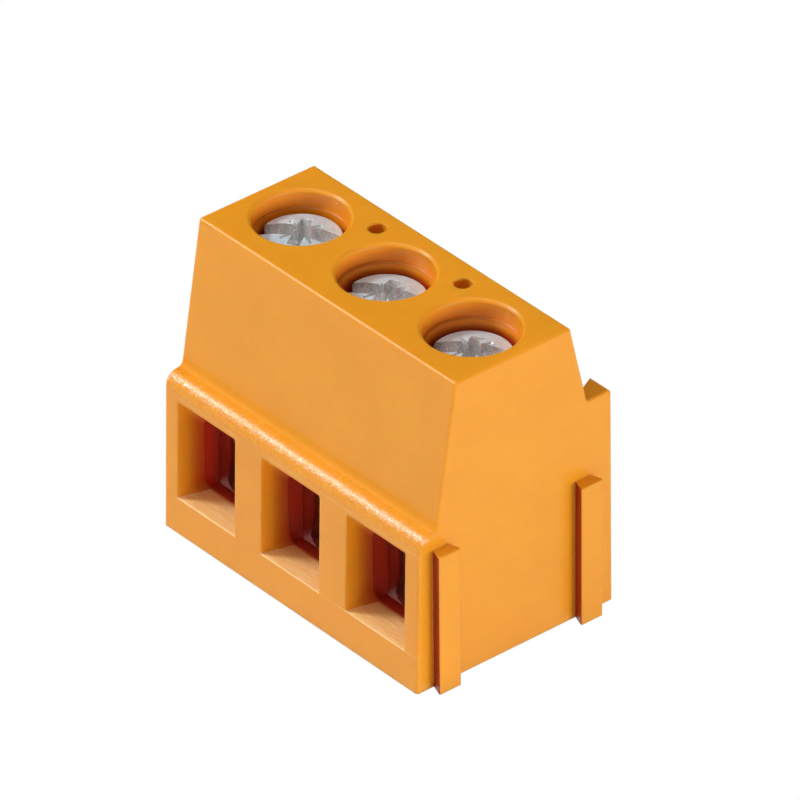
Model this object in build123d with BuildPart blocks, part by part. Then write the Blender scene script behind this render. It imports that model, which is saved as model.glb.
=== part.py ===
from build123d import *

import math
import os

# Screw terminal block for a printed circuit board.
# +X runs along the row of poles to the side with the tongues, +Y from the wire side to the back,
# and Z = 0 is the board. The origin is the centre of the row of solder pins. Millimetres.

# Row of poles
pole_count = 3
pitch = 5.08

# Depths, each measured back from the foot of the front face
front_to_screw = 5.0
front_to_back = 9.87

# Housing, side outline
front_lean = 0.19
front_ledge_height = 7.04
front_ledge_depth = 0.8
front_ledge_round = 0.6
front_ledge_root = 0.25
upper_front_slope = 1.03
body_height = 13.37
top_depth = 5.74
top_front_round = 0.15
top_back_round = 0.1
rear_ledge_height = 9.7
rear_ledge_depth = 1.27
rear_root = 0.12
rear_round = 0.15
rear_lean = 0.06
side_round = 0.12

# Dovetail tongues on one side, and the grooves that take a neighbour's on the other
front_to_tongue = 1.2
tongue_spacing = 7.13
tongue_width = 1.12
tongue_reach = 0.58
tongue_undercut = 0.2
tongue_height = 6.3
tongue_round = 0.06
groove_slack = 0.04

# Screw shafts and the small blind holes between them
shaft_gap = 0.19
mouth_step = 0.09
mouth_bevel = 0.11
mouth_depth = 0.78
peg_hole_radius = 0.37
peg_hole_depth = 2.4
front_to_peg_hole = 6.71

# Wire funnels: mouth in the front face, closing in to the height of the wire space
sill_height = 1.62
mouth_width = 3.5
mouth_height = 4.6
mouth_corner = 0.05
throat_width = 3.4
throat_corner = 0.5
sill_depth = 1.45
sill_fall = 0.25
passage_width = 3.5

# Notches in the rear ledge
notch_width = 2.66
notch_undercut = 0.58
notch_depth = 1.3
notch_wall = 0.06

# Clamping screw
thread_pitch = 0.5
closing_turns = 7
shank_radius = 1.4
shank_point = 0.3
head_clearance = 0.5
head_radius = 1.65
head_side = 1.5
head_dome = 0.3
head_round = 0.14
slot_width = 0.8
slot_depth = 0.5
cross_radius = 1.0
cross_wing = 0.52
cross_depth = 1.15
cross_floor_radius = 0.3
star_wing = 0.14
screw_lifts = [0.32, 0.05, 0.0]
recess_turns = [32.0, 25.0, 35.0]

# Clamping yoke, folded from sheet
yoke_sheet = 0.45
yoke_width = 3.8
yoke_depth = 4.1
yoke_wire_height = 3.6
yoke_bend = 0.2
yoke_lip = 0.3
yoke_flare = 1.0
thread_gap = 0.05
bar_gap = 0.05

# Contact strip with its solder pin
strip_thickness = 0.8
strip_side_gap = 0.1
strip_inner_bend = 0.3
strip_outer_bend = 0.5
bar_height = 4.9
pin_width = 1.0
pin_length = 3.5
pin_shoulder = 0.5
pin_taper = 0.22

# Room round the yoke
yoke_side_gap = 0.07
yoke_front_gap = 0.45
yoke_end_gap = 0.1
yoke_head_room = 0.25
leg_gap = 0.4
pocket_corner = 0.08

# Cutting tools run this far past the faces they open, and this much of a ledge stays flat
past = 0.5
least_flat = 0.002

# Places that follow from the sizes above
pole_x = [pitch * (i - (pole_count - 1) / 2) for i in range(pole_count)]
side_x = pole_count * pitch / 2
front_to_pin = front_to_screw + yoke_depth / 2 + leg_gap + strip_thickness / 2
front_y = -front_to_pin
back_y = front_y + front_to_back
screw_y = front_y + front_to_screw
bar_top = bar_height + strip_thickness
yoke_floor_top = bar_height - yoke_wire_height
yoke_bottom = yoke_floor_top - yoke_sheet
yoke_plate = 2 * yoke_sheet
yoke_top = bar_top + bar_gap + yoke_plate
yoke_front = screw_y - yoke_depth / 2
yoke_back = screw_y + yoke_depth / 2
yoke_lip_front = yoke_front - yoke_lip
yoke_travel = closing_turns * thread_pitch
strip_width = yoke_width - 2 * (yoke_sheet + strip_side_gap)
shank_length = yoke_top + yoke_travel + head_clearance - bar_top
shaft_radius = head_radius + shaft_gap
mouth_radius = shaft_radius + mouth_step
sill_back = front_y + sill_depth
pocket_front = yoke_lip_front - yoke_front_gap
pocket_back = yoke_back + yoke_end_gap
pocket_width = yoke_width + 2 * yoke_side_gap
pocket_height = yoke_top + yoke_travel + yoke_head_room
leg_front = -strip_thickness / 2
leg_back = strip_thickness / 2


def wall_plane(y):
    """Upright plane across the row at this depth, with X and Z as its own directions."""
    return Plane.XZ.offset(-y)


def dovetail(x, y, slack=0.0):
    """Corners of a dovetail in plan: it grows towards +X from x, and is widest at its far end."""
    neck = tongue_width / 2 - tongue_undercut + slack
    tip = tongue_width / 2 + slack
    reach = tongue_reach + slack
    return [
        (x - past, y - neck),
        (x, y - neck),
        (x + reach, y - tip),
        (x + reach, y + tip),
        (x, y + neck),
        (x - past, y + neck),
    ]


def round_reach(radius, lean, rise):
    """How much of a level edge a round takes, next to a wall that leans by this much over its rise."""
    return radius * math.tan((math.pi / 2 - math.atan2(lean, rise)) / 2)


def ledge_root_radius():
    """Radius at the root of the front ledge, limited by the flat that the ledge's outer round leaves."""
    flat = front_ledge_depth - round_reach(front_ledge_round, front_lean, front_ledge_height)
    upper_rise = body_height - front_ledge_height
    return min(front_ledge_root, (flat - least_flat) / round_reach(1, upper_front_slope, upper_rise))


def funnel_sections(x):
    """Sections of one pole's wire funnel: its sill is level, its top slopes down to the wire space."""
    sizes = [
        (0, mouth_width, mouth_height, mouth_corner),
        (sill_depth, throat_width, bar_height - sill_height, throat_corner),
    ]
    sections = []
    for depth, width, height, corner in sizes:
        with BuildSketch(wall_plane(front_y + depth)) as section:
            with Locations((x, sill_height + height / 2)):
                RectangleRounded(width, height, corner)
        sections.append(section.sketch.face())
    return sections


def notch_corners(x):
    """Corners in plan of one pole's notch in the rear ledge, narrowest where it opens."""
    mouth = notch_width / 2
    root = mouth + notch_undercut
    mouth_y = back_y - rear_lean
    root_y = back_y - rear_ledge_depth + notch_wall
    return [
        (x - mouth, mouth_y + past),
        (x - mouth, mouth_y),
        (x - root, root_y),
        (x + root, root_y),
        (x + mouth, mouth_y),
        (x + mouth, mouth_y + past),
    ]


def make_housing():
    """One moulding: stepped body, tongues and grooves, shafts, funnels, pockets and notches."""
    upper_foot = front_y + front_lean + front_ledge_depth
    top_front = upper_foot + upper_front_slope
    outline_rounds = {
        (front_y + front_lean, front_ledge_height): front_ledge_round,
        (upper_foot, front_ledge_height): ledge_root_radius(),
        (top_front, body_height): top_front_round,
        (top_front + top_depth, body_height): top_back_round,
        (back_y - rear_ledge_depth, rear_ledge_height): rear_root,
        (back_y - rear_lean, rear_ledge_height): rear_round,
    }
    web_x = [(left + right) / 2 for left, right in zip(pole_x, pole_x[1:])]
    tongue_y = [front_y + front_to_tongue, front_y + front_to_tongue + tongue_spacing]

    with BuildPart() as housing:
        # Body, from its side outline
        with BuildSketch(Plane.YZ) as outline:
            with BuildLine():
                Polyline((front_y, 0), *outline_rounds, (back_y, 0), close=True)
            make_face()
            for corner, radius in outline_rounds.items():
                fillet(outline.vertices().sort_by_distance(corner)[0], radius)
        extrude(amount=side_x, both=True)
        side_rims = housing.faces().filter_by(Axis.X).edges()
        fillet(side_rims - side_rims.group_by(Axis.Z)[0], side_round)

        # Tongues on the right, grooves on the left
        with BuildSketch() as tongues:
            for y in tongue_y:
                with BuildLine():
                    Polyline(*dovetail(side_x, y), close=True)
                make_face()
            fillet(tongues.vertices().group_by(Axis.X)[-1], tongue_round)
        extrude(amount=tongue_height)
        with BuildSketch():
            for y in tongue_y:
                with BuildLine():
                    Polyline(*dovetail(-side_x, y, groove_slack), close=True)
                make_face()
        extrude(amount=tongue_height + groove_slack, mode=Mode.SUBTRACT)

        # Screw shafts and blind holes in the top
        with Locations(*[(x, screw_y, body_height) for x in pole_x]):
            CounterBoreHole(
                radius=shaft_radius,
                counter_bore_radius=mouth_radius,
                counter_bore_depth=mouth_depth,
                depth=body_height - pocket_height + past,
            )
        top_face = housing.faces().sort_by(Axis.Z)[-1]
        chamfer(top_face.inner_wires().edges(), mouth_bevel)
        with Locations(*[(x, front_y + front_to_peg_hole, body_height) for x in web_x]):
            Hole(radius=peg_hole_radius, depth=peg_hole_depth)

        # Wire funnels in the front
        for x in pole_x:
            loft(sections=funnel_sections(x), ruled=True, mode=Mode.SUBTRACT)

        # Wires' way on from the funnels: the sill falls a little towards the yoke
        for x in pole_x:
            with BuildSketch(Plane.YZ.offset(x)):
                with BuildLine():
                    Polyline(
                        (sill_back, sill_height),
                        (pocket_front, sill_height - sill_fall),
                        (pocket_front, bar_height),
                        (sill_back, bar_height),
                        close=True,
                    )
                make_face()
            extrude(amount=passage_width / 2, both=True, mode=Mode.SUBTRACT)

        # Pockets for the yokes, and slots for the strips behind them
        with BuildSketch():
            with Locations(*[(x, (pocket_front + pocket_back) / 2) for x in pole_x]):
                RectangleRounded(pocket_width, pocket_back - pocket_front, pocket_corner)
        extrude(amount=pocket_height, mode=Mode.SUBTRACT)
        with BuildSketch():
            with Locations(*[(x, (pocket_back + leg_back) / 2) for x in pole_x]):
                Rectangle(strip_width, leg_back - pocket_back)
        extrude(amount=bar_top, mode=Mode.SUBTRACT)

        # Notches in the rear ledge
        with BuildSketch(Plane.XY.offset(rear_ledge_height - notch_depth)):
            for x in pole_x:
                with BuildLine():
                    Polyline(*notch_corners(x), close=True)
                make_face()
        extrude(amount=notch_depth + past, mode=Mode.SUBTRACT)

    housing.part.label = "housing"
    return housing.part


def make_recess():
    """Cross recess, with a thin star between its wings, as a solid under the plane Z = 0."""
    with BuildPart() as recess:
        with BuildSketch():
            for turn in (0, 90):
                Rectangle(2 * cross_radius, cross_wing, rotation=turn)
                Rectangle(2 * cross_radius, star_wing, rotation=turn + 45)
        extrude(amount=-cross_depth)
        with Locations((0, 0, -cross_depth / 2)):
            Cone(cross_floor_radius, cross_radius, cross_depth, mode=Mode.INTERSECT)
    return recess.part


def make_screw(number, x, lift, turn):
    """Clamping screw: its point bears on the contact bar, and lift is its play above the bar."""
    point_z = bar_top + lift
    head_z = point_z + shank_length
    rim_z = head_z + head_side
    top_z = rim_z + head_dome
    upright = Plane((x, screw_y, 0), x_dir=(1, 0, 0), z_dir=(0, -1, 0))
    with BuildPart() as screw:
        with BuildSketch(upright) as half_section:
            with BuildLine():
                side = Polyline(
                    (0, point_z),
                    (shank_radius - shank_point, point_z),
                    (shank_radius, point_z + shank_point),
                    (shank_radius, head_z),
                    (head_radius, head_z),
                    (head_radius, rim_z),
                )
                dome = TangentArc((0, top_z), side @ 1, tangent=(1, 0))
                Line(dome @ 0, side @ 0)
            make_face()
            fillet(half_section.vertices().sort_by_distance(side @ 1)[0], head_round)
        revolve(axis=Axis((x, screw_y, 0), (0, 0, 1)))
        with BuildSketch(Plane((x, screw_y, top_z))):
            Rectangle(3 * head_radius, slot_width, rotation=turn)
        extrude(amount=-head_dome - slot_depth, mode=Mode.SUBTRACT)
        with Locations(Location((x, screw_y, top_z), (0, 0, turn))):
            add(make_recess(), mode=Mode.SUBTRACT)
    screw.part.label = f"screw_{number}"
    return screw.part


def make_yoke(number, x):
    """Clamping yoke: a ring of folded sheet, doubled over at the top for the screw's thread."""
    ring_mid = (yoke_bottom + yoke_top) / 2
    opening_top = bar_top + bar_gap
    opening_mid = (yoke_floor_top + opening_top) / 2
    flare_top = yoke_floor_top + yoke_flare
    with BuildPart() as yoke:
        with BuildSketch(wall_plane(yoke_lip_front)):
            with Locations((x, ring_mid)):
                RectangleRounded(yoke_width, yoke_top - yoke_bottom, yoke_sheet + yoke_bend)
            with Locations((x, opening_mid)):
                RectangleRounded(
                    yoke_width - 2 * yoke_sheet,
                    opening_top - yoke_floor_top,
                    yoke_bend,
                    mode=Mode.SUBTRACT,
                )
        extrude(amount=yoke_lip_front - yoke_back)
        with BuildSketch(Plane.YZ.offset(x)):
            with BuildLine():
                edge = Polyline(
                    (yoke_lip_front, yoke_floor_top),
                    (yoke_lip_front - past, yoke_floor_top),
                    (yoke_lip_front - past, yoke_top + past),
                    (yoke_front, yoke_top + past),
                    (yoke_front, flare_top),
                )
                TangentArc(edge @ 1, edge @ 0, tangent=(0, -1))
            make_face()
        extrude(amount=yoke_width, both=True, mode=Mode.SUBTRACT)
        with Locations((x, screw_y, yoke_top)):
            Hole(radius=shank_radius + thread_gap, depth=yoke_plate + past)
    yoke.part.label = f"clamp_yoke_{number}"
    return yoke.part


def make_contact(number, x):
    """Contact strip: a bar above the wire space, bent down behind the yoke into the solder pin."""
    inner_corner = (leg_front, bar_height)
    outer_corner = (leg_back, bar_top)
    with BuildPart() as contact:
        with BuildSketch(Plane.YZ.offset(x)) as side:
            with BuildLine():
                Polyline(
                    (pocket_front, bar_height),
                    inner_corner,
                    (leg_front, -pin_length),
                    (leg_back, -pin_length),
                    outer_corner,
                    (pocket_front, bar_top),
                    close=True,
                )
            make_face()
            fillet(side.vertices().sort_by_distance(inner_corner)[0], strip_inner_bend)
            fillet(side.vertices().sort_by_distance(outer_corner)[0], strip_outer_bend)
        extrude(amount=strip_width / 2, both=True)
        with BuildSketch(wall_plane(leg_back)):
            for side_of_pin in (-1, 1):
                with Locations((x + side_of_pin * (pin_width + strip_width) / 2, pin_shoulder)):
                    Rectangle(strip_width, pin_length + past, align=(Align.CENTER, Align.MAX))
        extrude(amount=strip_thickness, mode=Mode.SUBTRACT)
        tip = contact.faces().sort_by(Axis.Z)[0]
        chamfer(tip.edges(), pin_taper)
    contact.part.label = f"contact_{number}"
    return contact.part


pieces = [make_housing()]
for number, x in enumerate(pole_x, start=1):
    lift = screw_lifts[(number - 1) % len(screw_lifts)]
    turn = recess_turns[(number - 1) % len(recess_turns)]
    pieces.append(make_screw(number, x, lift, turn))
    pieces.append(make_yoke(number, x))
    pieces.append(make_contact(number, x))

os.makedirs("parts", exist_ok=True)
for piece in pieces:
    export_step(piece, f"parts/{piece.label}.step")
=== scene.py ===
import math
from types import SimpleNamespace

import bmesh
import bpy
from mathutils import Matrix, Vector


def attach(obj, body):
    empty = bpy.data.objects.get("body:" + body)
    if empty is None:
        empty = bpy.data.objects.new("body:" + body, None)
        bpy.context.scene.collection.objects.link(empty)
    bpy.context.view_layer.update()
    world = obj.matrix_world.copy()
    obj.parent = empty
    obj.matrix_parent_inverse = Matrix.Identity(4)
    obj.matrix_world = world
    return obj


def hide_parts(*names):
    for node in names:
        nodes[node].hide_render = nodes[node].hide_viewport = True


# Looks of a three-pole screw terminal block in orange polyamide. Metres, in the frame of the model:
# +X along the poles to the side with the tongues, +Y to the back, Z = 0 at the board.

MM = 0.001
POLES = (1, 2, 3)

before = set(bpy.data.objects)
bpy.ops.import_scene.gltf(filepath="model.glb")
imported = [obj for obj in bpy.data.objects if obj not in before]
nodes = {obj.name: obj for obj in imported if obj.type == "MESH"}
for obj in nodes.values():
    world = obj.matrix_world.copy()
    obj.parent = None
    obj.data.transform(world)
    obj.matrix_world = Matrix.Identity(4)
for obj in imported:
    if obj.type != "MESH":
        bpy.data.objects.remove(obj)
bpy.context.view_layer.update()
scene = bpy.context.scene
scene.view_settings.view_transform = "Standard"


def extent(piece):
    """Lowest and highest corner of a piece."""
    corners = [piece.matrix_world @ Vector(corner) for corner in piece.bound_box]
    return (Vector([min(c[i] for c in corners) for i in range(3)]),
            Vector([max(c[i] for c in corners) for i in range(3)]))


FRONT = extent(nodes["housing"])[0].y

# Camera, fitted to the photograph
CAMERA_AZIMUTH, CAMERA_ELEVATION, CAMERA_ROLL = 50.22, 33.77, -0.57
FOCAL_PIXELS, PICTURE_PIXELS = 12327.1, 800
SENSOR_WIDTH = 36.0
CAMERA_DISTANCE = 473.8 * MM
CAMERA_CLIP = (0.05, 20.0)
AIM = Vector((0.0, -2.485, 7.0)) * MM
AIM_SHIFT = (0.212 * MM, 0.270 * MM)

# Softboxes: azimuth, elevation, distance, width and height in metres, power in watts
SOFTBOXES = {
    "light_left": (-56.0, 40.0, 0.5, 0.12, 0.10, 1.60),
    "light_right": (92.0, 7.0, 0.6, 0.40, 0.10, 2.35),
    "light_top": (-40.0, 78.0, 0.6, 0.40, 0.40, 1.43),
}

# Dome light: its strengths, and the cosines to the camera's side and to the far side between which
# they change
DOME_SIDES, DOME_CAMERA_SIDE, DOME_FAR_SIDE = 0.40, 0.22, 0.033
CAMERA_SIDE_COSINES = (0.3, 0.9)
FAR_SIDE_COSINES = (0.25, 0.75)

# Ground
FLOOR_HALF = 1.5
FLOOR_WHITE = 0.90
FLOOR_ROUGHNESS = 0.9

# Housing: its row of poles, its height, and the front ledge with its coarse outer round
PITCH = 5.08 * MM
SIDE = 7.62 * MM
TOP = 13.37 * MM
LEDGE_TOP = 7.04 * MM
LEDGE_ROUND = 0.6 * MM
LEDGE_DEPTH = 1.0 * MM

# Wire windows and the yokes' pockets behind them. Depths are from the front, and half widths from a
# pole's middle, but ROW_HALF and FLASH_SIDES from the middle of the row. Other values are heights.
# SOFT is the width over which a mask fades.
SOFT = 0.02 * MM
WINDOW_TOP = 6.22 * MM
WINDOW_LOW = 0.2 * MM
SILL_TOP = 1.62 * MM
SILL_DEPTH = 1.45 * MM
SILL_HALF = 1.76 * MM
MOUTH_HALF = 1.77 * MM
FUNNEL_HALF = 1.84 * MM
FUNNEL_DEPTH = 8.6 * MM
POCKET_HALF = 2.08 * MM
POCKET_DEPTHS = (2.15 * MM, 7.3 * MM)
ROW_HALF = 7.22 * MM
# Depths between which the painted shade turns the windows red
RED_SHADE_DEPTHS = (0.6 * MM, 1.6 * MM)
# How far back from the front the painted highlight on the sills' edge reaches
SILL_HIGHLIGHT_DEPTH = 0.04 * MM
FACE_DEPTH = 0.20 * MM
FLASH_SIDES = (1.72 * MM, 7.6 * MM)

# Screw shafts: their axes, the radius at which their walls begin, the height of their floors, and
# ranges on their walls that are depths below the top
SCREW_Y = FRONT + 5.0 * MM
WALL_RADIUS = 2.02 * MM
SHAFT_FLOOR = 6.5 * MM
RIM_FADE = (0.3 * MM, 0.1 * MM)
LOW_WALL = (1.35 * MM, 0.95 * MM)
STEP_BAND = (0.86 * MM, 0.74 * MM)

# Colours of the polyamide
ORANGE_DARK = (0.80, 0.312, 0.0145, 1.0)
ORANGE_LIGHT = (0.84, 0.335, 0.0170, 1.0)
# Painted shade: red deep in the wire windows and the pockets behind them
WINDOW_SHADE_RED = (0.64, 0.062, 0.030, 1.0)
# Painted light: pale lit patch on the windows' sills
SILL_LIT_PALE = (0.94, 0.60, 0.26, 1.0)
# Painted highlight along the sills' front edge
SILL_EDGE_HIGHLIGHT = (1.0, 0.80, 0.44, 1.0)
FLASH_PALE = (1.0, 0.66, 0.26, 1.0)
# Painted light: brighter, deeper orange on the screw shafts' walls, for light bounced inside them
SHAFT_BOUNCE_ORANGE = (0.96, 0.32, 0.006, 1.0)
# Painted shade: red low on the shafts' walls beside the screw heads
SHAFT_SHADE_RED = (0.50, 0.040, 0.008, 1.0)
# Painted shade: brown line at the step in the shafts' walls
STEP_SHADE_BROWN = (0.58, 0.13, 0.002, 1.0)
# Painted shade: dark red on the tongues' front flanks
FLANK_SHADE_RED = (0.36, 0.022, 0.003, 1.0)
# Painted highlight: pale specks on the crown of the ledge's round
GLINT_FLECK_PALE = (1.0, 0.74, 0.56, 1.0)

# Shares of the tones that don't cover in full
FLASH_SHARE = 0.6
STEP_SHADE_SHARE = 0.6
GLINT_FLECK_SHARE = 0.6

# Noise patterns: scale per metre, detail, roughness
NOISES = {
    "clouds": (420.0, 3.0, 0.5),
    "flow": (1500.0, 4.0, 0.6),
    "tool_streaks": (9000.0, 3.0, 0.6),
    "grain": (10000.0, 2.0, 0.6),
    "pits": (7000.0, 1.0, 0.5),
    # specks of the painted highlight on the ledge's crown
    "glint_flecks": (15000.0, 1.0, 0.4),
    "plating_clouds": (1800.0, 4.0, 0.65),
    "plating_pits": (14000.0, 3.0, 0.6),
    "plating_dents": (3200.0, 2.0, 0.5),
}

# Surface of the polyamide
CLEAN_ROUGHNESS = (0.28, 0.37)
PITTED_ROUGHNESS = (0.16, 0.30)
ROOT_ROUGHNESS = 0.9
CLEAN_GRAIN = 0.0008 * MM
PITTED_GRAIN = 0.022 * MM
MOULDED_EDGE = 0.12 * MM
POLYAMIDE_IOR = 1.42
SUBSURFACE_WEIGHT = 0.30
SUBSURFACE_RADIUS = (1.0, 0.20, 0.03)
SUBSURFACE_SCALE = 0.8 * MM

# Plated metals: bright and dull colour, roughness, share of metal, relief, stretch along Z
PLATINGS = {
    "screw_zinc": ((0.72, 0.88, 0.98), (0.56, 0.68, 0.76), 0.34, 0.25, 0.008 * MM, 1.0),
    "recess_zinc": ((0.98, 1.00, 1.00), (0.56, 0.59, 0.61), 0.22, 0.42, 0.085 * MM, 0.45),
    "yoke_zinc": ((0.58, 0.57, 0.56), (0.46, 0.45, 0.44), 0.34, 1.0, 0.008 * MM, 1.0),
    "contact_tin": ((0.78, 0.77, 0.74), (0.68, 0.67, 0.64), 0.30, 1.0, 0.008 * MM, 1.0),
}
STRUCK_EDGE = 0.035 * MM
PLATING_IOR = 2.0
BEVEL_SAMPLES = 6

# Clamping screws, in millimetres
SCREW_HEIGHT = 6.75
THREAD_PITCH = 0.5
THREAD_DEPTH = 0.22
THREAD_INSET = 0.25
FLANK_STEEPNESS = 1.6
ROOT_FLAT = 0.2
SHANK_OVERLAP = 0.05
POINT_HEIGHT = 0.3
HEAD_HEIGHT = 1.8
HEAD_FOOT = 0.06
DOME_HEIGHT = 0.3
RIM_ROUND = 0.14
SLOT_WIDTH = 0.8
SLOT_DEPTH = 0.8
SLOT_TAPER = 0.9
WING_RADIUS = 1.0
WING_WIDTH = 0.52
WING_FLOOR = 0.3
WING_DEPTH = 1.15
WING_TAPER = 0.8
STAR_WIDTH = 0.16
STAR_DEPTH = 0.7
STAR_TAPER = 0.3
CUTTER_ABOVE = 0.3
RECESS_BELOW_DOME = 0.04
RECESS_ABOVE_SHANK = 0.1
RECESS_TURNS = (32.0, 25.0, 35.0)
HEAD_COLUMNS, SHANK_COLUMNS = 96, 48
THREAD_ROWS, DOME_ROWS, RIM_STEPS = 10, 14, 5
SHARP_ANGLE = 28


def direction(azimuth, elevation):
    """Unit vector towards this azimuth, 0 at the front and 90 on the right, and this elevation."""
    a, e = math.radians(azimuth), math.radians(elevation)
    return Vector((math.sin(a) * math.cos(e), -math.cos(a) * math.cos(e), math.sin(e)))


def make_camera():
    """Camera where the photograph was taken from, with a very long lens."""
    back = direction(CAMERA_AZIMUTH, CAMERA_ELEVATION)
    a, roll = math.radians(CAMERA_AZIMUTH), math.radians(CAMERA_ROLL)
    right = Vector((math.cos(a), math.sin(a), 0.0))
    up = back.cross(right)
    across = math.cos(roll) * right + math.sin(roll) * up
    upward = math.cos(roll) * up - math.sin(roll) * right
    eye = AIM + AIM_SHIFT[0] * across + AIM_SHIFT[1] * upward + CAMERA_DISTANCE * back
    data = bpy.data.cameras.new("camera")
    data.sensor_width = SENSOR_WIDTH
    data.lens = FOCAL_PIXELS / PICTURE_PIXELS * SENSOR_WIDTH
    data.clip_start, data.clip_end = CAMERA_CLIP
    camera = bpy.data.objects.new("camera", data)
    camera.matrix_world = Matrix(
        [(across[i], upward[i], back[i], eye[i]) for i in range(3)] + [(0, 0, 0, 1)]
    )
    scene.collection.objects.link(camera)
    scene.camera = camera


class Graph:
    """Short ways to add and link nodes of one material or world."""

    def __init__(self, tree):
        self.tree = tree
        tree.nodes.clear()

    def node(self, kind, **values):
        made = self.tree.nodes.new(kind)
        for key, value in values.items():
            setattr(made, key, value)
        return made

    def link(self, source, target):
        self.tree.links.new(source, target)

    def put(self, socket, value):
        """Sets a socket to a plain value, or links it if the value is another node's output."""
        if isinstance(value, bpy.types.NodeSocket):
            self.link(value, socket)
        else:
            socket.default_value = value

    def place(self):
        """Place on the piece, in metres."""
        return self.node("ShaderNodeTexCoord").outputs["Object"]

    def split(self, vector):
        made = self.node("ShaderNodeSeparateXYZ")
        self.link(vector, made.inputs["Vector"])
        return made.outputs

    def stretched(self, vector, scale):
        made = self.node("ShaderNodeMapping")
        self.link(vector, made.inputs["Vector"])
        made.inputs["Scale"].default_value = scale
        return made.outputs["Vector"]

    def noise(self, vector, kind):
        """One of the noise patterns named above, 0 to 1."""
        scale, detail, roughness = NOISES[kind]
        made = self.node("ShaderNodeTexNoise")
        self.link(vector, made.inputs["Vector"])
        made.inputs["Scale"].default_value = scale
        made.inputs["Detail"].default_value = detail
        made.inputs["Roughness"].default_value = roughness
        made.inputs["Distortion"].default_value = 0.0
        return made.outputs["Fac"]

    def spread(self, value, low, high, to_low=0.0, to_high=1.0):
        """Maps the range from low to high onto another, clamped."""
        made = self.node("ShaderNodeMapRange")
        self.link(value, made.inputs["Value"])
        for name, number in zip(("From Min", "From Max", "To Min", "To Max"), (low, high, to_low, to_high)):
            self.put(made.inputs[name], number)
        return made.outputs["Result"]

    def above(self, value, limit, soft=SOFT):
        """0 up to this limit, 1 a little past it."""
        return self.spread(value, limit, limit + soft)

    def below(self, value, limit, soft=SOFT):
        """1 up to this limit, 0 a little past it."""
        return self.spread(value, limit, limit + soft, 1.0, 0.0)

    def band(self, value, low, high, soft=SOFT):
        """1 between two limits, 0 outside, with soft ends."""
        return self.both(self.above(value, low, soft), self.below(value, high - soft, soft))

    def math(self, operation, *values):
        made = self.node("ShaderNodeMath", operation=operation)
        for socket, value in zip(made.inputs, values):
            self.put(socket, value)
        return made.outputs["Value"]

    def both(self, *masks):
        """Mask where all of these overlap."""
        result = masks[0]
        for mask in masks[1:]:
            result = self.math("MULTIPLY", result, mask)
        return result

    def either(self, first, second):
        """Mask where at least one of these is."""
        return self.math("MAXIMUM", first, second)

    def facing(self, vector, towards):
        """Cosine between a direction and this fixed one."""
        made = self.node("ShaderNodeVectorMath", operation="DOT_PRODUCT")
        self.link(vector, made.inputs[0])
        made.inputs[1].default_value = towards
        return made.outputs["Value"]

    def mix(self, share, first, second):
        """Colour between two, the second where the share is 1."""
        made = self.node("ShaderNodeMix", data_type="RGBA")
        inputs = {socket.identifier: socket for socket in made.inputs}
        self.put(inputs["Factor_Float"], share)
        self.put(inputs["A_Color"], first)
        self.put(inputs["B_Color"], second)
        return next(s for s in made.outputs if s.identifier == "Result_Color")

    def bump(self, height, distance, normal):
        made = self.node("ShaderNodeBump")
        self.link(height, made.inputs["Height"])
        made.inputs["Strength"].default_value = 1.0
        self.put(made.inputs["Distance"], distance)
        self.link(normal, made.inputs["Normal"])
        return made.outputs["Normal"]

    def soft_edges(self, radius):
        """Normals that turn round each sharp edge, as on a real moulded or struck edge."""
        made = self.node("ShaderNodeBevel", samples=BEVEL_SAMPLES)
        made.inputs["Radius"].default_value = radius
        return made.outputs["Normal"]


def new_material(name):
    """A material, its graph and its shader, already linked to the output."""
    material = bpy.data.materials.new(name)
    material.use_nodes = True
    graph = Graph(material.node_tree)
    shader = graph.node("ShaderNodeBsdfPrincipled")
    output = graph.node("ShaderNodeOutputMaterial")
    graph.link(shader.outputs["BSDF"], output.inputs["Surface"])
    return material, graph, shader


def paint(piece, material):
    if piece.data.materials:
        for slot in piece.material_slots:
            slot.material = material
    else:
        piece.data.materials.append(material)


def housing_places(g):
    """Where a point of the housing lies, and how far from its pole's middle and its shaft's axis."""
    place = g.place()
    x, y, z = g.split(place)
    across = g.math("WRAP", x, PITCH / 2, -PITCH / 2)
    from_axis = g.math("SUBTRACT", y, SCREW_Y)
    squares = g.math("ADD", g.math("MULTIPLY", across, across), g.math("MULTIPLY", from_axis, from_axis))
    return SimpleNamespace(
        place=place, x=x, y=y, z=z,
        aside=g.math("ABSOLUTE", across),
        radial=g.math("SQRT", squares),
        normal=g.node("ShaderNodeNewGeometry").outputs["Normal"],
    )


def flow_colour(g, at):
    """Orange with faint clouds and flow."""
    clouds = g.noise(at.place, "clouds")
    flow = g.noise(g.stretched(at.place, (1.0, 0.25, 1.0)), "flow")
    share = g.spread(g.math("ADD", clouds, g.math("MULTIPLY", flow, 0.5)), 0.5, 1.0)
    return g.mix(share, ORANGE_DARK, ORANGE_LIGHT)


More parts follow.
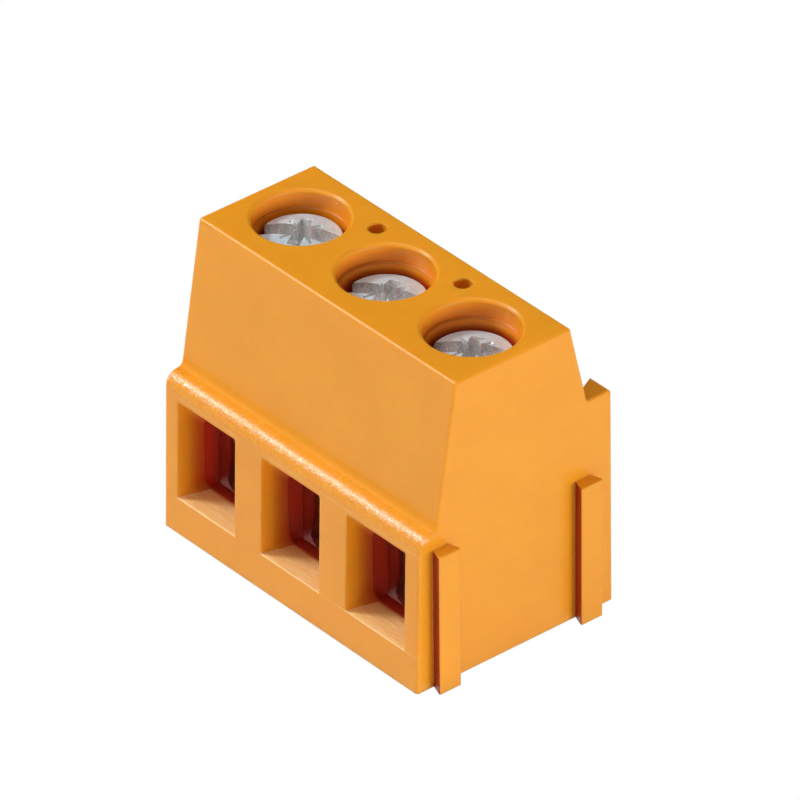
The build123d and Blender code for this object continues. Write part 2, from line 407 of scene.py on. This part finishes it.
def window_layers(g, at):
    """Tones in and round the wire windows: painted shade, red, deeper in; painted light, pale and streaked,
    on the sills;
    a painted highlight along the sills' front edge; and thin flash that runs on over the posts on the
    right."""
    funnel = g.both(g.below(at.aside, FUNNEL_HALF), g.below(at.y, FRONT + FUNNEL_DEPTH, 0.1 * MM))
    pocket = g.both(g.below(at.aside, POCKET_HALF),
                    g.band(at.y, FRONT + POCKET_DEPTHS[0], FRONT + POCKET_DEPTHS[1]))
    window = g.both(g.either(funnel, pocket), g.band(at.x, -ROW_HALF, ROW_HALF),
                    g.band(at.z, WINDOW_LOW, WINDOW_TOP + 0.05 * MM))
    # painted shade: red that comes in with depth inside the windows
    deep = g.spread(at.y, FRONT + RED_SHADE_DEPTHS[0], FRONT + RED_SHADE_DEPTHS[1])

    streaks = g.noise(g.stretched(at.place, (0.12, 1.0, 1.0)), "tool_streaks")
    sill = g.both(window, g.band(at.z, SILL_TOP - 0.02 * MM, SILL_TOP + 0.03 * MM, 0.01 * MM),
                  g.below(at.y, FRONT + SILL_DEPTH - 0.12 * MM, 0.15 * MM),
                  g.below(at.aside, SILL_HALF, 0.01 * MM))
    # painted light on the sills, pale, broken up by the streaks
    sill_light = g.both(sill, g.spread(streaks, 0.3, 0.65, 0.55, 1.0))
    # painted highlight along the sills' front edge
    sill_edge_highlight = g.both(sill, g.below(at.y, FRONT + SILL_HIGHLIGHT_DEPTH, 0.05 * MM))

    at_face = g.below(at.y, FRONT + FACE_DEPTH)
    on_right = g.band(at.x, *FLASH_SIDES)
    over = g.either(g.below(at.aside, MOUTH_HALF, 0.01 * MM), on_right)
    high_line = g.both(g.band(at.z, WINDOW_TOP - 0.01 * MM, WINDOW_TOP + 0.04 * MM, 0.01 * MM), over)
    low_line = g.both(g.band(at.z, SILL_TOP - 0.03 * MM, SILL_TOP + 0.02 * MM, 0.01 * MM), on_right)
    flash = g.both(at_face, g.either(high_line, low_line), g.spread(streaks, 0.35, 0.6))
    return [(g.both(window, deep), WINDOW_SHADE_RED), (sill_light, SILL_LIT_PALE), (sill_edge_highlight, SILL_EDGE_HIGHLIGHT),
            (g.math("MULTIPLY", flash, FLASH_SHARE), FLASH_PALE)]


def shaft_light_and_shade_layers(g, at):
    """Painted light and shade on the screw shafts' walls: painted light, a brighter deeper orange, for
    light bounced inside them; painted shade, red, beside the heads; painted shade, brown, at the step.
    """
    wall = g.below(at.radial, WALL_RADIUS, 0.04 * MM)
    # painted light: brighter, deeper orange on the walls below the rim
    inside = g.both(wall, g.spread(at.z, TOP - RIM_FADE[0], TOP - RIM_FADE[1], 1.0, 0.0))
    # painted shade: red low on the walls, beside the heads
    low = g.both(wall, g.spread(at.z, TOP - LOW_WALL[0], TOP - LOW_WALL[1], 1.0, 0.0),
                 g.above(at.z, SHAFT_FLOOR, 0.1 * MM))
    # painted shade: brown at the step
    step = g.both(wall, g.band(at.z, TOP - STEP_BAND[0], TOP - STEP_BAND[1], 0.04 * MM))
    return [(inside, SHAFT_BOUNCE_ORANGE), (low, SHAFT_SHADE_RED), (g.math("MULTIPLY", step, STEP_SHADE_SHARE), STEP_SHADE_BROWN)]


def flank_shade_layer(g, at):
    """Painted shade: dark red on the front flanks of the tongues."""
    mask = g.both(g.above(at.x, SIDE + 0.01 * MM),
                  g.spread(g.facing(at.normal, (0.0, -1.0, 0.0)), 0.75, 0.9))
    return mask, FLANK_SHADE_RED


def ledge_mask(g, at):
    """The ledge's outer round."""
    low = LEDGE_TOP - 1.15 * LEDGE_ROUND
    return g.both(g.above(at.z, low, 0.35 * LEDGE_ROUND), g.below(at.z, LEDGE_TOP, 0.05 * MM),
                  g.below(at.y, FRONT + LEDGE_DEPTH, 0.1 * LEDGE_DEPTH))


def glint_fleck_layer(g, at, ledge):
    """Painted highlight: pale specks along the crown of the ledge's round, where it glints."""
    crown = g.both(g.band(at.z, LEDGE_TOP - 0.36 * MM, LEDGE_TOP, 0.12 * MM),
                   g.below(at.y, FRONT + 0.52 * MM, 0.16 * MM))
    glint_flecks = g.noise(at.place, "glint_flecks")
    # painted highlight: pale specks where the ledge's round glints
    glinting = g.both(ledge, crown, g.spread(glint_flecks, 0.48, 0.62))
    return g.math("MULTIPLY", glinting, GLINT_FLECK_SHARE), GLINT_FLECK_PALE


def moulded_roughness(g, at, ledge, grain):
    """Satin on the faces, glossier in the pits of the ledge's round, and dull at the ledge's root."""
    pits = g.noise(at.place, "pits")
    clean = g.spread(grain, 0.3, 0.7, *CLEAN_ROUGHNESS)
    pitted = g.spread(pits, 0.38, 0.62, *PITTED_ROUGHNESS)
    rough = g.math("ADD", g.both(clean, g.math("SUBTRACT", 1.0, ledge)), g.both(pitted, ledge))
    root = g.both(g.above(at.z, LEDGE_TOP + 0.01 * MM), g.below(at.z, LEDGE_TOP + 0.35 * MM, 0.2 * MM),
                  g.below(at.y, FRONT + 1.2 * LEDGE_DEPTH, 0.1 * LEDGE_DEPTH))
    return g.either(rough, g.math("MULTIPLY", root, ROOT_ROUGHNESS))


def polyamide():
    """Orange moulded polyamide, translucent: faint clouds and flow, satin gloss, a sparkling grain on the
    ledge with painted highlight specks on its crown; painted shade, red, inside its openings, low in the
    shafts and on the tongues' flanks; painted light on the sills and shaft walls."""
    material, g, shader = new_material("polyamide_orange")
    at = housing_places(g)
    ledge = ledge_mask(g, at)
    grain = g.noise(at.place, "grain")

    colour = flow_colour(g, at)
    layers = window_layers(g, at) + shaft_light_and_shade_layers(g, at)
    layers += [flank_shade_layer(g, at), glint_fleck_layer(g, at, ledge)]
    # painted shade, light and highlights are laid over the orange here, along with the flash
    for mask, tone in layers:
        colour = g.mix(mask, colour, tone)
    g.link(colour, shader.inputs["Base Color"])
    g.link(moulded_roughness(g, at, ledge, grain), shader.inputs["Roughness"])
    depth = g.spread(ledge, 0.0, 1.0, CLEAN_GRAIN, PITTED_GRAIN)
    g.link(g.bump(grain, depth, g.soft_edges(MOULDED_EDGE)), shader.inputs["Normal"])

    shader.inputs["IOR"].default_value = POLYAMIDE_IOR
    shader.inputs["Subsurface Weight"].default_value = SUBSURFACE_WEIGHT
    shader.inputs["Subsurface Radius"].default_value = SUBSURFACE_RADIUS
    shader.inputs["Subsurface Scale"].default_value = SUBSURFACE_SCALE
    return material


def plated_metal(name, bright, dull, rough, metal, relief, upright):
    """Plated metal: fine pits and clouds over its own shine, drawn out along Z where upright is small."""
    material, g, shader = new_material(name)
    place = g.stretched(g.place(), (1.0, 1.0, upright))
    clouds = g.noise(place, "plating_clouds")
    fine = g.noise(place, "plating_pits")
    dents = g.noise(place, "plating_dents")
    height = g.math("ADD", g.math("MULTIPLY", fine, 0.35), dents)
    colour = g.mix(g.spread(clouds, 0.35, 0.65), (*dull, 1.0), (*bright, 1.0))
    g.link(colour, shader.inputs["Base Color"])
    g.link(g.spread(fine, 0.3, 0.7, rough - 0.07, rough + 0.09), shader.inputs["Roughness"])
    g.link(g.bump(height, relief, g.soft_edges(STRUCK_EDGE)), shader.inputs["Normal"])
    shader.inputs["Metallic"].default_value = metal
    shader.inputs["IOR"].default_value = PLATING_IOR
    return material


def make_floor():
    """White ground at the board's level. What the camera and reflections see of it is plain white."""
    mesh = bpy.data.meshes.new("floor")
    corners = [(x * FLOOR_HALF, y * FLOOR_HALF, 0) for x, y in ((-1, -1), (1, -1), (1, 1), (-1, 1))]
    mesh.from_pydata(corners, [], [(0, 1, 2, 3)])
    floor = bpy.data.objects.new("floor", mesh)
    scene.collection.objects.link(floor)
    material, g, shader = new_material("floor_white")
    shader.inputs["Base Color"].default_value = (FLOOR_WHITE, FLOOR_WHITE, FLOOR_WHITE, 1.0)
    shader.inputs["Roughness"].default_value = FLOOR_ROUGHNESS
    shader.inputs["Specular IOR Level"].default_value = 0.0
    rays = g.node("ShaderNodeLightPath").outputs
    seen = g.either(g.either(rays["Is Camera Ray"], rays["Is Glossy Ray"]), rays["Is Transmission Ray"])
    glow = g.node("ShaderNodeEmission")
    glow.inputs["Color"].default_value = (1.0, 1.0, 1.0, 1.0)
    glow.inputs["Strength"].default_value = 1.0
    mixed = g.node("ShaderNodeMixShader")
    g.link(seen, mixed.inputs[0])
    g.link(shader.outputs["BSDF"], mixed.inputs[1])
    g.link(glow.outputs["Emission"], mixed.inputs[2])
    output = next(n for n in material.node_tree.nodes if n.type == "OUTPUT_MATERIAL")
    g.link(mixed.outputs["Shader"], output.inputs["Surface"])
    paint(floor, material)


def softbox(name, azimuth, elevation, distance, width, height, power):
    """Rectangular lamp that faces the block from this direction."""
    towards = direction(azimuth, elevation)
    data = bpy.data.lights.new(name, "AREA")
    data.shape = "RECTANGLE"
    data.size, data.size_y = width, height
    data.energy = power
    lamp = bpy.data.objects.new(name, data)
    lamp.location = AIM + towards * distance
    lamp.rotation_mode = "QUATERNION"
    lamp.rotation_quaternion = towards.to_track_quat("Z", "Y")
    scene.collection.objects.link(lamp)


def make_world():
    """Dome light: even at the sides, dimmer behind the camera, and nearly dark opposite it."""
    world = bpy.data.worlds.new("dome")
    world.use_nodes = True
    g = Graph(world.node_tree)
    place = g.node("ShaderNodeTexCoord").outputs["Generated"]
    camera_side = g.facing(place, direction(CAMERA_AZIMUTH, CAMERA_ELEVATION))
    far_side = g.facing(place, direction(CAMERA_AZIMUTH + 180, CAMERA_ELEVATION))
    strength = g.math("MINIMUM", g.spread(camera_side, *CAMERA_SIDE_COSINES, DOME_SIDES, DOME_CAMERA_SIDE),
                      g.spread(far_side, *FAR_SIDE_COSINES, DOME_SIDES, DOME_FAR_SIDE))
    glow = g.node("ShaderNodeBackground")
    g.link(strength, glow.inputs["Strength"])
    output = g.node("ShaderNodeOutputWorld")
    g.link(glow.outputs["Background"], output.inputs["Surface"])
    scene.world = world


def lathe(rings, columns):
    """Closed solid about Z. Each ring is a height and a radius, or a radius for each angle."""
    mesh = bmesh.new()
    angles = [2 * math.pi * k / columns for k in range(columns)]
    loops = []
    for height, radius in rings:
        loop = []
        for angle in angles:
            r = radius(angle) if callable(radius) else radius
            loop.append(mesh.verts.new((r * math.cos(angle), r * math.sin(angle), height)))
        loops.append(loop)
    for low, high in zip(loops, loops[1:]):
        for k in range(columns):
            after = (k + 1) % columns
            mesh.faces.new((low[k], low[after], high[after], high[k]))
    for loop, height, downward in ((loops[0], rings[0][0], True), (loops[-1], rings[-1][0], False)):
        middle = mesh.verts.new((0, 0, height))
        for k in range(columns):
            after = (k + 1) % columns
            order = (loop[after], loop[k], middle) if downward else (loop[k], loop[after], middle)
            mesh.faces.new(order)
    return mesh


def thread_radius(height, crest):
    """Radius of a right-handed thread with flat crests and roots, at this height, by the angle."""
    def radius(angle):
        phase = (height / THREAD_PITCH - angle / (2 * math.pi)) % 1.0
        ramp = 1.0 - abs(2.0 * phase - 1.0)
        fullness = max(0.0, min(1.0, FLANK_STEEPNESS * ramp - ROOT_FLAT))
        return crest - THREAD_DEPTH * (1.0 - fullness)
    return radius


def shank_rings(length, crest):
    """Threaded shank, pointed below. It runs a little way into the head."""
    rows = int(length / THREAD_PITCH * THREAD_ROWS)
    rings = [(0.0, crest - POINT_HEIGHT - THREAD_DEPTH)]
    for row in range(1, rows):
        height = length * row / rows
        limit = min(crest, crest - POINT_HEIGHT + height)
        rings.append((height, thread_radius(height, limit)))
    rings.append((length + SHANK_OVERLAP, crest - THREAD_DEPTH))
    return rings


def dome_drop(radius, head_radius):
    """How far the dome of a head lies below its own tip at this radius."""
    sphere = (head_radius ** 2 + DOME_HEIGHT ** 2) / (2 * DOME_HEIGHT)
    return sphere - math.sqrt(sphere ** 2 - radius ** 2)


def head_rings(base, head_radius):
    """Cheese head: straight side, rounded rim, low dome."""
    rings = [(base, head_radius - HEAD_FOOT), (base + HEAD_FOOT, head_radius)]
    inner = head_radius - RIM_ROUND
    tip = base + HEAD_HEIGHT
    centre = tip - dome_drop(inner, head_radius) - RIM_ROUND
    for step in range(RIM_STEPS + 1):
        angle = math.pi / 2 * step / RIM_STEPS
        rings.append((centre + RIM_ROUND * math.sin(angle), inner + RIM_ROUND * math.cos(angle)))
    for row in range(1, DOME_ROWS):
        radius = inner * (1 - row / DOME_ROWS)
        rings.append((tip - dome_drop(radius, head_radius), radius))
    return rings


def wedge(mesh, turn, half_length, half_width, top, bottom, floor_length, floor_width):
    """Cutter across the axis: a bar whose sides run in towards its floor."""
    corners = []
    for height, a, b in ((bottom, floor_length, floor_width), (top, half_length, half_width)):
        for s, t in ((-1, -1), (1, -1), (1, 1), (-1, 1)):
            corners.append(mesh.verts.new((s * a, t * b, height)))
    faces = ((3, 2, 1, 0), (4, 5, 6, 7), (0, 1, 5, 4), (1, 2, 6, 5), (2, 3, 7, 6), (3, 0, 4, 7))
    for face in faces:
        mesh.faces.new([corners[i] for i in face])
    bmesh.ops.rotate(mesh, verts=corners, matrix=Matrix.Rotation(math.radians(turn), 3, "Z"))


def add_object(name, mesh):
    data = bpy.data.meshes.new(name)
    mesh.normal_update()
    mesh.to_mesh(data)
    mesh.free()
    made = bpy.data.objects.new(name, data)
    scene.collection.objects.link(made)
    return made


def recess_cutters(top, turn, head_radius):
    """Bars that cut the slot, the cross and the star out of a head whose dome ends at this height."""
    slot_length = 2 * head_radius
    plans = [("slot", 0, slot_length, SLOT_WIDTH / 2, SLOT_DEPTH, slot_length,
              SLOT_TAPER * SLOT_WIDTH / 2)]
    for kind, first, width, depth, taper in (
        ("cross", 0, WING_WIDTH, WING_DEPTH, WING_TAPER),
        ("star", 45, STAR_WIDTH, STAR_DEPTH, STAR_TAPER),
    ):
        for extra in (first, first + 90):
            plans.append((kind, extra, WING_RADIUS, width / 2, depth, WING_FLOOR, taper * width / 2))
    bars = []
    for kind, extra, length, width, depth, floor_length, floor_width in plans:
        mesh = bmesh.new()
        grown = 1 + CUTTER_ABOVE / depth
        wedge(mesh, turn + extra, floor_length + (length - floor_length) * grown,
              floor_width + (width - floor_width) * grown, top + CUTTER_ABOVE, top - depth,
              floor_length, floor_width)
        bars.append(add_object(f"{kind}_{extra}", mesh))
    return bars


def cut_away(solid, bars):
    """Mesh of the solid with the bars cut out of it. The bars are removed."""
    for bar in bars:
        cut = solid.modifiers.new("cut", "BOOLEAN")
        cut.operation = "DIFFERENCE"
        cut.solver = "EXACT"
        cut.object = bar
    settled = solid.evaluated_get(bpy.context.evaluated_depsgraph_get())
    mesh = bmesh.new()
    mesh.from_mesh(settled.to_mesh())
    settled.to_mesh_clear()
    solid.modifiers.clear()
    for bar in bars:
        bpy.data.objects.remove(bar)
    return mesh


def add_mesh(mesh, other):
    """Adds all faces of the other mesh, which is freed, to this one."""
    joined = bpy.data.meshes.new("joined")
    other.to_mesh(joined)
    other.free()
    mesh.from_mesh(joined)
    bpy.data.meshes.remove(joined)


def shade_edges(mesh):
    """Smooth faces, apart from across the sharp edges."""
    for face in mesh.faces:
        face.smooth = True
    for edge in mesh.edges:
        if len(edge.link_faces) == 2 and edge.calc_face_angle(0.0) > math.radians(SHARP_ANGLE):
            edge.smooth = False


def mark_recess(mesh, centre, shank_length, head_radius):
    """Gives the second material to the faces of the recess: all under the dome and above the shank."""
    for face in mesh.faces:
        place = (face.calc_center_median() - centre) / MM
        radius = math.hypot(place.x, place.y)
        low = shank_length + RECESS_ABOVE_SHANK
        high = SCREW_HEIGHT - dome_drop(radius, head_radius) - RECESS_BELOW_DOME
        if radius < head_radius - RIM_ROUND and low < place.z < high:
            face.material_index = 1


def make_screw(pole, material, inside):
    """Clamping screw with its thread, domed head, slot and star-ribbed cross recess of another finish."""
    node = nodes[f"screw_{pole}"]
    low, high = extent(node)
    centre = Vector(((low.x + high.x) / 2, (low.y + high.y) / 2, low.z))
    head_radius = (high.x - low.x) / 2 / MM
    shank_length = SCREW_HEIGHT - HEAD_HEIGHT

    head = add_object(f"screw_piece_{pole}", lathe(head_rings(shank_length, head_radius), HEAD_COLUMNS))
    mesh = cut_away(head, recess_cutters(SCREW_HEIGHT, RECESS_TURNS[pole - 1], head_radius))
    add_mesh(mesh, lathe(shank_rings(shank_length, head_radius - THREAD_INSET), SHANK_COLUMNS))
    bmesh.ops.scale(mesh, vec=(MM, MM, MM), verts=mesh.verts)
    bmesh.ops.translate(mesh, vec=centre, verts=mesh.verts)
    shade_edges(mesh)
    mark_recess(mesh, centre, shank_length, head_radius)
    mesh.to_mesh(head.data)
    mesh.free()
    head.data.materials.append(material)
    head.data.materials.append(inside)
    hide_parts(node.name)
    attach(head, f"screw_{pole}")


make_camera()
make_floor()
make_world()
for name, values in SOFTBOXES.items():
    softbox(name, *values)

orange = polyamide()
metals = {name: plated_metal(name, *values) for name, values in PLATINGS.items()}
paint(nodes["housing"], orange)
for pole in POLES:
    make_screw(pole, metals["screw_zinc"], metals["recess_zinc"])
    paint(nodes[f"clamp_yoke_{pole}"], metals["yoke_zinc"])
    paint(nodes[f"contact_{pole}"], metals["contact_tin"])
